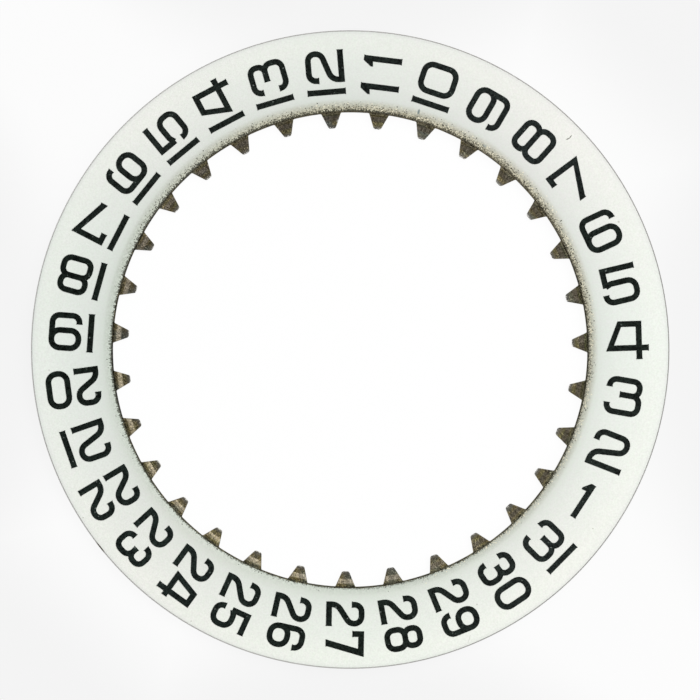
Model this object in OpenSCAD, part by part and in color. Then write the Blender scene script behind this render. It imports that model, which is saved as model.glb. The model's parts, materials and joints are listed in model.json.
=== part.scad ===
// Date disc of a wrist watch calendar: a thin metal ring with 31 internal teeth on a
// lower step, white lacquer on its numeral band and a printed figure for each date.
// The disc turns about Z, its foot stands on z = 0 and the print faces +Z.
// The tooth beside figure 4 lies on +X, and the dates run counter-clockwise.

/* [Blank] */
// Outer diameter of the disc
disc_d = 22.8; // [20:0.1:30]
// Radial width of the numeral band, from the tooth roots to the outer edge
band_w = 2.92; // [2.7:0.01:3.6]
// Thickness of the numeral band
band_t = 0.2; // [0.15:0.01:0.3]
// Height of the band's underside above the foot
band_lift = 0.18; // [0.12:0.01:0.25]
// Radial width of the foot ring under the inner part of the band
foot_w = 0.72; // [0.4:0.01:1.2]
// Bevel between the foot ring and the underside of the band
foot_bevel = 0.06; // [0.02:0.01:0.1]
// Bevel on the outer edge of the band
edge_bevel = 0.03; // [0.01:0.005:0.05]

/* [Inner shoulder] */
// Radial width of the rounded shoulder at the band's inner edge
shoulder_w = 0.3; // [0.15:0.01:0.36]
// Drop of the shoulder from the band's face to the wall
shoulder_drop = 0.07; // [0.03:0.005:0.1]
// Ledge between the foot of the wall and the tooth roots
ledge_w = 0.03; // [0.01:0.005:0.06]

/* [Teeth] */
// Height of a tooth, from root to tip
tooth_h = 0.55; // [0.4:0.01:0.7]
// Width of a tooth at its tip, before the corners are rounded
tooth_tip_w = 0.24; // [0.16:0.01:0.36]
// Angle of each flank against the tooth's own radius
tooth_flank = 23.5; // [18:0.5:28]
// Thickness of the outer half of a tooth
tooth_t = 0.14; // [0.08:0.01:0.17]
// Rise of the turned step on the teeth
step_h = 0.06; // [0.02:0.005:0.07]
// Radial width of the flat land between the wall and the step
land_w = 0.11; // [0.05:0.01:0.2]
// Radial width of the sloping face of the step
step_w = 0.17; // [0.05:0.01:0.2]
// Radius of the tooth's tip corners
tip_round = 0.085; // [0.02:0.005:0.1]
// Radius of the fillets at the tooth roots
root_round = 0.05; // [0.02:0.005:0.08]
// Bevel on the upper and lower edges of the tips
tip_bevel = 0.025; // [0.005:0.005:0.035]

/* [Finish] */
// Thickness of the white lacquer
film_t = 0.02; // [0.01:0.002:0.04]
// Bare metal left between the wall and the lacquer
film_gap = 0.03; // [0.01:0.005:0.08]
// Bare metal left between the outer bevel and the lacquer
rim_gap = 0.01; // [0.005:0.005:0.05]
// Thickness of the printed ink
ink_t = 0.012; // [0.008:0.001:0.02]

/* [Figures] */
// Height of the figures
figure_h = 1.37; // [1.1:0.01:1.5]
// Width of the pen stroke
pen_w = 0.205; // [0.14:0.005:0.23]
// Width of a digit that stands alone
wide_w = 1.33; // [1.1:0.01:1.7]
// Width of a digit beside a plain 1
medium_w = 1.17; // [0.95:0.01:1.4]
// Width of each digit in a pair
narrow_w = 0.88; // [0.72:0.01:1]
// Gap between the digits of a pair
pair_gap = 0.165; // [0.08:0.005:0.2]
// Gap between a plain 1 and its neighbour
bar_gap = 0.22; // [0.1:0.005:0.3]
// Distance between the two strokes of 11
eleven_gap = 0.99; // [0.8:0.01:1.2]
// How far each side of a stroke widens at its open ends
flare = 0.018; // [0.006:0.002:0.03]
// Length of the widened end
flare_l = 0.05; // [0.03:0.005:0.07]
// Turn of the whole print against the teeth, in degrees
print_turn = 0.32; // [-1:0.02:1]
// Lean of each figure against its own radius, in degrees
figure_lean = -0.25; // [-2:0.05:2]
// Offset of the print's centre from the disc's axis, along X
print_x = -0.034; // [-0.06:0.001:0.06]
// Offset of the print's centre from the disc's axis, along Y
print_y = -0.023; // [-0.06:0.001:0.06]

/* [Hidden] */
// One tooth and one figure for each day of the longest month
dates = 31;
pitch = 360 / dates;
date_on_x = 4;
// Facets of a full circle, and the largest turn between two points of a curve
$fn = 248;
arc_step = 15;

disc_r = disc_d / 2;
root_r = disc_r - band_w;
tip_r = root_r - tooth_h;
wall_r = root_r + ledge_w;
foot_r = root_r + foot_w;
land_r = root_r - land_w;
step_r = land_r - step_w;
figure_r = (root_r + disc_r) / 2;

land_z = tooth_t + step_h;
band_z = band_lift + band_t;
film_z = band_z + film_t;

// Straight runs along the root circle from one tooth to the next
root_steps = 4;

// The shoulder is an arc that leaves the band's face as a tangent
shoulder_r = wall_r + shoulder_w;
arc_r = (shoulder_w * shoulder_w + shoulder_drop * shoulder_drop) / (2 * shoulder_drop);
shoulder_steps = 8;
film_in_r = wall_r + film_gap;
film_out_r = disc_r - edge_bevel - rim_gap;

// Heights and corner radii that the figures share
pen = pen_w / 2;
top = figure_h - pen;
waist = 0.54 * figure_h;
bowl = 0.535 * figure_h;
hook = 0.295 * figure_h;
long_hook = 0.333 * figure_h;
hook_r = hook - pen - flare_l;
round_r = 0.22 * figure_h;
upper_r = 0.44 * (top - waist);
lower_r = 0.39 * (waist - pen);

// Name of the node that holds one date
function date_name(n) = str("date_", n < 10 ? "0" : "", n);

// Points of the shoulder's arc, raised by a film of this thickness
function shoulder_at(a, film) = [
    shoulder_r - (arc_r + film) * cos(a),
    band_z - arc_r + (arc_r + film) * sin(a)
];
function shoulder_start(film) = acos((shoulder_r - film_in_r) / (arc_r + film));
function shoulder_arc(film) = [
    for (k = [0 : shoulder_steps])
        shoulder_at(shoulder_start(film) + (90 - shoulder_start(film)) * k / shoulder_steps, film)
];

// Half section of the turned blank, before the teeth are cut. Its bevelled nose is
// carried a little past the tips, which the bore then cuts flat.
module blank_section() {
    bare = shoulder_arc(0);
    nose = (tooth_t / 2 - tip_bevel) / 2;
    polygon(concat(
        [
            [tip_r - nose, tip_bevel + nose],
            [tip_r + tip_bevel, 0],
            [foot_r, 0],
            [foot_r, band_lift - foot_bevel],
            [foot_r + foot_bevel, band_lift],
            [disc_r - edge_bevel, band_lift],
            [disc_r, band_lift + edge_bevel],
            [disc_r, band_z - edge_bevel],
            [disc_r - edge_bevel, band_z]
        ],
        [for (k = [shoulder_steps : -1 : 0]) bare[k]],
        [
            [wall_r, band_z - shoulder_drop],
            [wall_r, land_z],
            [land_r, land_z],
            [step_r, tooth_t],
            [tip_r + tip_bevel, tooth_t],
            [tip_r - nose, tooth_t - tip_bevel - nose]
        ]
    ));
}

// Points of an arc about c, from one angle to another
function arc_points(c, r, a0, a1) =
    let (n = ceil(abs(a1 - a0) / arc_step))
    [for (k = [0 : n]) let (a = a0 + (a1 - a0) * k / n) [c.x + r * cos(a), c.y + r * sin(a)]];

// One side of a tooth that points to the axis, from its tip out to the root circle.
// The flank leaves the rounded tip corner and ends in the root fillet as tangents.
function tooth_side() =
    let (
        f = tooth_flank,
        tip_c = [
            tip_r + tip_round,
            tooth_tip_w / 2 - tip_round * (1 - sin(f)) / cos(f)
        ],
        // The fillet's centre is root_round off the flank and inside the root circle
        c_r = root_r - root_round,
        flank_off = tooth_tip_w / 2 * cos(f) + root_round,
        // Angle of the fillet's centre, seen from the axis
        c_a = f + asin((flank_off - tip_r * sin(f)) / c_r),
        fillet_c = [c_r * cos(c_a), c_r * sin(c_a)]
    )
    concat(
        arc_points(tip_c, tip_round, 180, 90 + f),
        arc_points(fillet_c, root_round, f - 90, c_a)
    );

// A point turned about the axis
function turned(p, a) = [p.x * cos(a) - p.y * sin(a), p.x * sin(a) + p.y * cos(a)];

// What the cutter takes out of the blank: one outline round all the teeth, which
// passes each tooth on both its sides and follows the root circle to the next
module bore_plan() {
    side = tooth_side();
    last = len(side) - 1;
    root_a = atan2(side[last].y, side[last].x);
    root_step = (pitch - 2 * root_a) / root_steps;
    tooth_and_gap = concat(
        [for (k = [last : -1 : 0]) [side[k].x, -side[k].y]],
        side,
        [for (k = [1 : root_steps - 1]) turned([root_r, 0], root_a + k * root_step)]
    );
    polygon([
        for (k = [0 : dates - 1], p = tooth_and_gap) turned(p, k * pitch)
    ]);
}

module toothed_ring() {
    color([0.5, 0.47, 0.4])
        difference() {
            rotate_extrude()
                blank_section();
            translate([0, 0, -band_z])
                linear_extrude(3 * band_z)
                    bore_plan();
        }
}

module lacquer_coat() {
    bare = shoulder_arc(0);
    coated = shoulder_arc(film_t);
    color([0.9, 0.92, 0.89])
        rotate_extrude()
            polygon(concat(
                bare,
                [[film_out_r, band_z], [film_out_r, film_z]],
                [for (k = [shoulder_steps : -1 : 0]) coated[k]]
            ));
}

// Points of a pen line as [x, y, heading]. Each step is [run, radius, turn]: a straight
// run, then an arc of that radius through that turn, where left is positive.
function pen_line(p, steps, i = 0) =
    i == len(steps) ? [p] :
    let (
        run = steps[i][0],
        r = steps[i][1],
        turn = steps[i][2],
        q = [p.x + run * cos(p.z), p.y + run * sin(p.z), p.z],
        left = sign(turn) * r,
        c = [q.x - left * sin(q.z), q.y + left * cos(q.z)],
        n = ceil(abs(turn) / arc_step),
        bend = [
            for (k = [1 : 1 : n])
                let (a = q.z + turn * k / n)
                [c.x + left * sin(a), c.y - left * cos(a), a]
        ],
        last = n > 0 ? bend[n - 1] : q
    )
    concat(
        [p],
        run > 0 && n > 0 ? [q] : [],
        [for (k = [0 : 1 : n - 2]) bend[k]],
        pen_line(last, steps, i + 1)
    );

// The pen line as a stroke, widened at its first or last end where that end is open
module stroke(start, steps, open_start = false, open_end = false) {
    lead = open_start ? [[flare_l, 0, 0]] : [];
    tail = open_end ? [[flare_l, 0, 0]] : [];
    line = pen_line(start, concat(lead, steps, tail));
    last = len(line) - 1;
    half = [
        for (k = [0 : last])
            (k == 0 && open_start) || (k == last && open_end) ? pen + flare : pen
    ];
    function beside(k, d) = [line[k].x - d * sin(line[k].z), line[k].y + d * cos(line[k].z)];
    polygon(concat(
        [for (k = [0 : last]) beside(k, -half[k])],
        [for (k = [last : -1 : 0]) beside(k, half[k])]
    ));
}

// A straight stroke of a given length
module bar(start, length, open_start = false, open_end = false) {
    ends = (open_start ? flare_l : 0) + (open_end ? flare_l : 0);
    stroke(start, [[length - ends, 0, 0]], open_start, open_end);
}

// Outline of a box with four round corners
function round_box(x0, y0, x1, y1, r) = concat(
    arc_points([x1 - r, y1 - r], r, 0, 90),
    arc_points([x0 + r, y1 - r], r, 90, 180),
    arc_points([x0 + r, y0 + r], r, 180, 270),
    arc_points([x1 - r, y0 + r], r, 270, 360)
);

// A closed stroke round such a box, whose size is given on the pen's middle line
module closed_stroke(x0, y0, x1, y1, r) {
    difference() {
        polygon(round_box(x0 - pen, y0 - pen, x1 + pen, y1 + pen, r + pen));
        polygon(round_box(x0 + pen, y0 + pen, x1 - pen, y1 - pen, r - pen));
    }
}

// A corner radius that a digit of this width has room for
function fit_r(r, w) = min(r, 0.47 * (w - pen_w));

module digit_0(w) {
    closed_stroke(pen, pen, w - pen, top, fit_r(round_r, w));
}

module plain_1() {
    bar([pen, 0, 90], figure_h, true, true);
}

// The 1 with a flag, used where it stands alone and in 11
module flagged_1() {
    flag_w = 0.88 * pen_w;
    flag_x = 0.12 * pen_w;
    flag_y = 0.8 * figure_h;
    flag_under = 0.74 * figure_h;
    flag_root = 0.76 * figure_h;
    polygon([
        [-flare, 0],
        [pen_w + flare, 0],
        [pen_w, flare_l],
        [pen_w, figure_h - flare_l],
        [pen_w + flare, figure_h],
        [flag_x, figure_h],
        [-flag_w, flag_y],
        [-flag_w, flag_under],
        [0, flag_root],
        [0, flare_l]
    ]);
}

// The diagonal of the 2 joins two arcs, and its slope b follows from the digit's width
module digit_2(w) {
    r = fit_r(hook_r, w);
    arm_r = 0.204 * figure_h;
    leg_r = 0.26 * figure_h;
    arm_y = 0.725 * figure_h;
    both_r = arm_r + leg_r;
    across = w - pen_w - both_r;
    down = arm_y - pen_w;
    b = acos(both_r / norm([across, down])) - atan2(across, down);
    slope_l = (across + both_r * sin(b)) / cos(b);
    stroke(
        [pen, figure_h - long_hook, 90],
        [
            [long_hook - pen - flare_l - r, r, -90],
            [w - pen_w - 2 * r, r, -90],
            [top - r - arm_y, arm_r, b - 90],
            [slope_l, leg_r, 90 - b],
            [pen_w, 0, 0]
        ],
        open_start = true
    );
    bar([0, pen, 0], w, open_end = true);
}

module digit_3(w) {
    r_up = fit_r(upper_r, w);
    r_low = fit_r(lower_r, w);
    r_hook = fit_r(hook_r, w);
    arm_x = 0.383 * w;
    inset = 0.03 * w;
    right_up = w - pen - inset;
    stroke(
        [pen, figure_h - hook, 90],
        [
            [hook - pen - flare_l - r_hook, r_hook, -90],
            [right_up - pen - r_hook - r_up, r_up, -90],
            [top - waist - 2 * r_up, r_up, -90],
            [right_up - r_up - arm_x - flare_l, 0, 0]
        ],
        open_start = true,
        open_end = true
    );
    stroke(
        [w / 2, waist, 0],
        [
            [w / 2 - pen - r_low, r_low, -90],
            [waist - pen - 2 * r_low, r_low, -90],
            [w - pen_w - r_low - r_hook, r_hook, -90],
            [hook - pen - flare_l - r_hook, 0, 0]
        ],
        open_end = true
    );
}

// An open 4 with a sloping left stroke; its arm and corner reach past the digit's width
module digit_4(w) {
    left = -0.08 * w;
    right = 1.07 * w;
    stem = 0.81 * w;
    head = 0.25 * w;
    arm_y = 0.3 * figure_h;
    lean = (head - left) / (figure_h - arm_y + pen);
    difference() {
        polygon([
            [left, arm_y - pen],
            [stem + pen, arm_y - pen],
            [stem + pen, figure_h],
            [head, figure_h]
        ]);
        polygon([
            [left + pen_w * (1 + lean), arm_y + pen],
            [stem - pen, arm_y + pen],
            [stem - pen, figure_h - pen_w],
            [head + pen_w * (1 - lean), figure_h - pen_w]
        ]);
    }
    bar([stem, arm_y, 0], right - stem, open_end = true);
    bar([stem, arm_y, -90], arm_y, open_end = true);
}

// The bowl of the 5 springs from the foot of the left stroke at a slope
module digit_5(w) {
    left = pen + 0.04 * w;
    right = 0.98 * w;
    stem_l = 0.515 * figure_h;
    spring_a = 22;
    spring_r = 0.75 * pen_w;
    spring_y = 0.51 * figure_h;
    bowl_y = 0.567 * figure_h;
    spring_l = (bowl_y - spring_y - spring_r * (1 - cos(spring_a))) / sin(spring_a);
    bowl_x = left + spring_l * cos(spring_a) + spring_r * sin(spring_a);
    r = fit_r(0.41 * (bowl_y - pen), w);
    r_hook = fit_r(hook_r, w);
    bar([left, figure_h, -90], stem_l);
    bar([left - pen, top, 0], right - left + pen, open_end = true);
    stroke(
        [left, spring_y, spring_a],
        [
            [spring_l, spring_r, -spring_a],
            [w - pen - r - bowl_x, r, -90],
            [bowl_y - pen - 2 * r, r, -90],
            [w - pen_w - r - r_hook, r_hook, -90],
            [hook - pen - flare_l - r_hook, 0, 0]
        ],
        open_end = true
    );
}

module digit_6(w) {
    r_bowl = fit_r(0.46 * (bowl - pen), w);
    r = fit_r(hook_r, w);
    closed_stroke(pen, pen, w - pen, bowl, r_bowl);
    stroke(
        [w - pen, figure_h - hook, 90],
        [
            [hook - pen - flare_l - r, r, 90],
            [w - pen_w - 2 * r, r, 90],
            [top - r - (bowl + pen) / 2, 0, 0]
        ],
        open_start = true
    );
}

// The bar of the 7 reaches a little past the digit's width and turns into the sloping leg
module digit_7(w) {
    right = 1.04 * w;
    foot_x = 0.5 * w;
    foot_half = 0.57 * pen_w;
    serif_l = 0.305 * figure_h;
    slant_w = 1.4 * pen_w;
    polygon([
        [0, figure_h - pen_w],
        [right - slant_w, figure_h - pen_w],
        [foot_x - foot_half, flare_l],
        [foot_x - foot_half - flare, 0],
        [foot_x + foot_half + flare, 0],
        [foot_x + foot_half, flare_l],
        [right, figure_h],
        [0, figure_h]
    ]);
    bar([pen, figure_h, -90], serif_l, open_end = true);
}

module digit_8(w) {
    inset = 0.033 * w;
    closed_stroke(pen + inset, waist, w - pen - inset, top, fit_r(upper_r, w - 2 * inset));
    closed_stroke(pen, pen, w - pen, waist, fit_r(lower_r, w));
}

// The 9 is the 6 turned upside down
module digit_9(w) {
    translate([w, figure_h])
        rotate(180)
            digit_6(w);
}

module digit(d, w) {
    if (d == 0) digit_0(w);
    if (d == 2) digit_2(w);
    if (d == 3) digit_3(w);
    if (d == 4) digit_4(w);
    if (d == 5) digit_5(w);
    if (d == 6) digit_6(w);
    if (d == 7) digit_7(w);
    if (d == 8) digit_8(w);
    if (d == 9) digit_9(w);
}

// Two marks side by side, centred as a pair
module side_by_side(left_w, gap, right_w) {
    total = left_w + gap + right_w;
    translate([-total / 2, 0])
        children(0);
    translate([total / 2 - right_w, 0])
        children(1);
}

// The figures of one date, upright, with their middle on x = 0 and their feet on y = 0
module date_figures(n) {
    tens = floor(n / 10);
    ones = n % 10;
    if (n == 1)
        translate([-pen, 0])
            flagged_1();
    else if (n == 11)
        side_by_side(pen_w, eleven_gap - pen_w, pen_w) {
            flagged_1();
            flagged_1();
        }
    else if (tens == 0)
        translate([-wide_w / 2, 0])
            digit(ones, wide_w);
    else if (tens == 1)
        side_by_side(pen_w, bar_gap, medium_w) {
            plain_1();
            digit(ones, medium_w);
        }
    else if (ones == 1)
        side_by_side(medium_w, bar_gap, pen_w) {
            digit(tens, medium_w);
            plain_1();
        }
    else
        side_by_side(narrow_w, pair_gap, narrow_w) {
            digit(tens, narrow_w);
            digit(ones, narrow_w);
        }
}

// The print of one date in its place on the lacquer; it reads outward from the axis
module date_print(n) {
    color([0.1, 0.12, 0.12])
        translate([print_x, print_y, film_z])
            rotate((n - date_on_x) * pitch + print_turn)
                translate([figure_r, 0, 0])
                    rotate(figure_lean)
                        translate([0, -figure_h / 2, 0])
                            linear_extrude(ink_t)
                                date_figures(n);
}

toothed_ring();
lacquer_coat();
for (n = [1 : dates])
    date_print(n);
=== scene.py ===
import bpy
import bmesh
import json
import math
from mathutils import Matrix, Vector, noise


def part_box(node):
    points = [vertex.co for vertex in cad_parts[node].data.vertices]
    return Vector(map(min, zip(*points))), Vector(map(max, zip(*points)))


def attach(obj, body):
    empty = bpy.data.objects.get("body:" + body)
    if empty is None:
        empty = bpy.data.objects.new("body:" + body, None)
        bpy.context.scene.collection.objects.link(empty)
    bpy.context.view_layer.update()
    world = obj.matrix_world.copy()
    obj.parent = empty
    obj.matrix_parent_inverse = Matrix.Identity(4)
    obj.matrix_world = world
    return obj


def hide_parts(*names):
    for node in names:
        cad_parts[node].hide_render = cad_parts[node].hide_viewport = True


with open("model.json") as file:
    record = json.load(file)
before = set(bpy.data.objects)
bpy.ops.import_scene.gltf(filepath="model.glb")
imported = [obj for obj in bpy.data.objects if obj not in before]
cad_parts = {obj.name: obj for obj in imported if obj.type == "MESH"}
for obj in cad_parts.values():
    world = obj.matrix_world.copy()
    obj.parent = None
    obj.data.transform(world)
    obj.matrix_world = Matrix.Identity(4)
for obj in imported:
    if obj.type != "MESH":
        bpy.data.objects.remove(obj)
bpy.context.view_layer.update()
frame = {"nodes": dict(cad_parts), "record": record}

# Lengths are in millimetres here, and MM turns them into metres. Bearings are in degrees about the
# axis, from +X towards +Y.
MM = 0.001

mounts = {mount["name"]: mount["dims"] for mount in frame["record"]["mounts"]}
disc_r = mounts["outer_rim"]["r_mm"]
wall_r = mounts["keeper_recess"]["r_mm"]
tip_r = mounts["date_teeth"]["r_mm"]
tooth_t = mounts["date_teeth"]["length_mm"]
teeth = mounts["date_teeth"]["count"]
band_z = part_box("toothed_ring")[1][2] / MM
film_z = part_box("lacquer_coat")[1][2] / MM
film_out_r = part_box("lacquer_coat")[1][0] / MM

# Blank, from the underside of its band to the step across the teeth
band_lift = 0.18
foot_w = 0.72
foot_bevel = 0.06
edge_bevel = 0.03
shoulder_w = 0.3
shoulder_drop = 0.07
ledge_w = 0.03
land_w = 0.11
step_h = 0.06
step_w = 0.17

# Teeth
tooth_tip_w = 0.24
tooth_flank = math.radians(23.5)
tip_round = 0.085
root_round = 0.05
tip_bevel = 0.025

# Rounding, by use, of the step's corners and of the cut edges
step_ease = 0.025
burr_round = 0.008
# Points of two sectors closer than this become one
weld_gap = 0.0001

# Lacquer film: the gap that its worn edge leaves at the wall, and the round of its outer edge
film_gap = 0.018
film_round = 0.008

root_r = wall_r - ledge_w
foot_r = root_r + foot_w
land_r = root_r - land_w
land_z = tooth_t + step_h
step_r = land_r - step_w
shoulder_r = wall_r + shoulder_w
shoulder_arc_r = (shoulder_w ** 2 + shoulder_drop ** 2) / (2 * shoulder_drop)
film_in_r = wall_r + film_gap
film_t = film_z - band_z
half_pitch = math.pi / teeth


def spread(start, end, count):
    """Values from start to end in a number of equal steps, both ends included."""
    return [start + (end - start) * k / count for k in range(count + 1)]


def toward(angle):
    """The unit vector at an angle about the axis."""
    return Vector((math.cos(angle), math.sin(angle)))


def smooth(value, low, high):
    """0 below low, 1 above high and a soft step between them."""
    t = min(1.0, max(0.0, (value - low) / (high - low)))
    return t * t * (3 - 2 * t)


def mesh_object(name, points, faces):
    """A mesh object of points in millimetres."""
    mesh = bpy.data.meshes.new(name)
    mesh.from_pydata([Vector(p) * MM for p in points], [], faces)
    made = bpy.data.objects.new(name, mesh)
    bpy.context.scene.collection.objects.link(made)
    return made


def tidy_mesh(mesh, sharp=math.radians(32)):
    """Turns every face outward and shades it smooth up to the sharp edges."""
    work = bmesh.new()
    work.from_mesh(mesh)
    bmesh.ops.recalc_face_normals(work, faces=work.faces)
    work.to_mesh(mesh)
    work.free()
    mesh.shade_smooth()
    mesh.set_sharp_from_angle(angle=sharp)


def piece_from(name, points, faces):
    """A mesh object with its faces outward and its sharp edges marked."""
    piece = mesh_object(name, points, faces)
    tidy_mesh(piece.data)
    return piece


# Node helpers

def fill(tree, node, inputs):
    """Gives a node's inputs. Each is a value, or another node's socket to link."""
    for key, value in inputs.items():
        if isinstance(value, bpy.types.NodeSocket):
            tree.links.new(value, node.inputs[key])
        else:
            node.inputs[key].default_value = value


def add_node(tree, kind, inputs, **settings):
    """Adds a node with its settings and inputs."""
    node = tree.nodes.new(kind)
    for name, value in settings.items():
        setattr(node, name, value)
    fill(tree, node, inputs)
    return node


def maths(tree, operation, *values, clamp=False):
    """A Math node's result."""
    inputs = dict(enumerate(values))
    return add_node(tree, "ShaderNodeMath", inputs, operation=operation, use_clamp=clamp).outputs[0]


def product(tree, first, *others):
    """Several values multiplied."""
    for other in others:
        first = maths(tree, "MULTIPLY", first, other)
    return first


def total(tree, first, *others):
    """Several values added up."""
    for other in others:
        first = maths(tree, "ADD", first, other)
    return first


def scaled(tree, vector, factor):
    """A vector or a colour times a number."""
    return add_node(tree, "ShaderNodeVectorMath", {0: vector, 3: factor}, operation="SCALE").outputs[0]


def soft_step(tree, value, low, high, start=0.0, end=1.0):
    """A smooth step from start to end as the value goes from low to high."""
    inputs = {"Value": value, "From Min": low, "From Max": high, "To Min": start, "To Max": end}
    node = add_node(tree, "ShaderNodeMapRange", inputs, interpolation_type="SMOOTHSTEP")
    return node.outputs["Result"]


def between(tree, share, start, end):
    """Goes smoothly from start to end as a share goes from 0 to 1."""
    return soft_step(tree, share, 0.0, 1.0, start, end)


def blend_colour(tree, share, first, second, blend="MIX"):
    """Two colours mixed by a share."""
    inputs = {0: share, 6: first, 7: second}
    return add_node(tree, "ShaderNodeMix", inputs, data_type="RGBA", blend_type=blend).outputs[2]


def colour_along(tree, value, stops):
    """A colour ramp. Each stop is its place from 0 to 1 and its colour."""
    node = add_node(tree, "ShaderNodeValToRGB", {"Fac": value})
    ramp = node.color_ramp
    while len(ramp.elements) < len(stops):
        ramp.elements.new(0.5)
    for element, (place, colour) in zip(ramp.elements, stops):
        element.position = place
        element.color = colour
    return node.outputs["Color"]


def shade(red, green, blue):
    """A colour given as 8-bit display values, as the linear colour that a shader takes."""
    def linear(value):
        c = value / 255
        return c / 12.92 if c <= 0.04045 else ((c + 0.055) / 1.055) ** 2.4
    return (linear(red), linear(green), linear(blue), 1.0)


def new_group(name, inputs, outputs, tree_kind="ShaderNodeTree"):
    """An empty node group with named sockets, and its two ends."""
    tree = bpy.data.node_groups.new(name, tree_kind)
    for direction, sockets in (("INPUT", inputs), ("OUTPUT", outputs)):
        for socket_name, kind in sockets.items():
            tree.interface.new_socket(socket_name, in_out=direction, socket_type="NodeSocket" + kind)
    return tree, tree.nodes.new("NodeGroupInput").outputs, tree.nodes.new("NodeGroupOutput").inputs


def use_group(tree, group, inputs):
    """Places a group in a material and gives its outputs."""
    return add_node(tree, "ShaderNodeGroup", inputs, node_tree=group).outputs


# Effects that several finishes share

def make_polar_place():
    """Distance from the axis in millimetres, height in millimetres and bearing in degrees."""
    outputs = {"Radius": "Float", "Height": "Float", "Bearing": "Float"}
    tree, given, result = new_group("polar place", {"Place": "Vector"}, outputs)
    parts = add_node(tree, "ShaderNodeSeparateXYZ", {0: scaled(tree, given["Place"], 1 / MM)}).outputs
    flat = add_node(tree, "ShaderNodeCombineXYZ", {0: parts["X"], 1: parts["Y"]})
    length = add_node(tree, "ShaderNodeVectorMath", {0: flat.outputs[0]}, operation="LENGTH")
    bearing = maths(tree, "DEGREES", maths(tree, "ARCTAN2", parts["Y"], parts["X"]))
    tree.links.new(length.outputs["Value"], result["Radius"])
    tree.links.new(parts["Z"], result["Height"])
    tree.links.new(bearing, result["Bearing"])
    return tree


def noise_value(tree, dimensions, inputs):
    """The value of a noise texture."""
    return add_node(tree, "ShaderNodeTexNoise", inputs, noise_dimensions=dimensions).outputs[0]


def contrasted(tree, value, contrast):
    """A value spread further from 0.5, within 0 and 1."""
    spread_out = maths(tree, "MULTIPLY", maths(tree, "SUBTRACT", value, 0.5), contrast)
    return maths(tree, "ADD", spread_out, 0.5, clamp=True)


def make_mottle():
    """Soft cloudy patches of a given size, between 0 and 1."""
    inputs = {"Place": "Vector", "Size": "Float", "Contrast": "Float", "Shift": "Float"}
    tree, given, result = new_group("mottle", inputs, {"Value": "Float"})
    scale = maths(tree, "DIVIDE", 1 / MM, given["Size"])
    where = {"Vector": given["Place"], "W": given["Shift"], "Scale": scale}
    field = noise_value(tree, "4D", where | {"Detail": 3.0, "Roughness": 0.6})
    tree.links.new(contrasted(tree, field, given["Contrast"]), result["Value"])
    return tree


def make_grain_specks():
    """Scattered grains: a mask of a random share of them, and a random tone for each."""
    inputs = {"Place": "Vector", "Grain": "Float", "Share": "Float", "Shift": "Float"}
    tree, given, result = new_group("grain specks", inputs, {"Mask": "Float", "Tone": "Float"})
    scale = maths(tree, "DIVIDE", 1 / MM, given["Grain"])
    values = {"Vector": given["Place"], "Scale": product(tree, scale, 0.8), "Detail": 1.0}
    warp = add_node(tree, "ShaderNodeTexNoise", values).outputs["Color"]
    push = scaled(tree, warp, maths(tree, "DIVIDE", 0.9, scale))
    bent = add_node(tree, "ShaderNodeVectorMath", {0: given["Place"], 1: push}, operation="ADD")
    where = {"Vector": bent.outputs[0], "W": given["Shift"], "Scale": scale}
    cells = add_node(tree, "ShaderNodeTexVoronoi", where, voronoi_dimensions="4D")
    tones = add_node(tree, "ShaderNodeSeparateColor", {0: cells.outputs["Color"]}).outputs
    chosen = maths(tree, "LESS_THAN", tones[0], given["Share"])
    tree.links.new(chosen, result["Mask"])
    tree.links.new(tones[1], result["Tone"])
    return tree


def make_turning_marks():
    """Fine rings that a lathe tool leaves, as a height from 0 to 1."""
    inputs = {"Place": "Vector", "Radius": "Float", "Feed": "Float"}
    tree, given, result = new_group("turning marks", inputs, {"Height": "Float"})
    drift = noise_value(tree, "3D", {"Vector": given["Place"], "Scale": 0.6 / MM, "Detail": 1.0})
    wander = product(tree, drift, given["Feed"], 4.0)
    along = maths(tree, "DIVIDE", total(tree, given["Radius"], wander), given["Feed"])
    rings = noise_value(tree, "1D", {"W": along, "Scale": 1.0, "Detail": 2.0})
    tree.links.new(rings, result["Height"])
    return tree


def make_streaks():
    """Soft streaks that run along the radius, between 0 and 1. Their width is the one at the wall."""
    inputs = dict.fromkeys(("Radius", "Bearing", "Width", "Length", "Contrast"), "Float")
    tree, given, result = new_group("streaks", inputs, {"Value": "Float"})
    arc = product(tree, maths(tree, "RADIANS", given["Bearing"]), wall_r)
    across = maths(tree, "DIVIDE", arc, given["Width"])
    along = maths(tree, "DIVIDE", given["Radius"], given["Length"])
    flat = add_node(tree, "ShaderNodeCombineXYZ", {"X": across, "Y": along})
    field = noise_value(tree, "2D", {"Vector": flat.outputs[0], "Scale": 1.0, "Detail": 2.0})
    tree.links.new(contrasted(tree, field, given["Contrast"]), result["Value"])
    return tree


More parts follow.
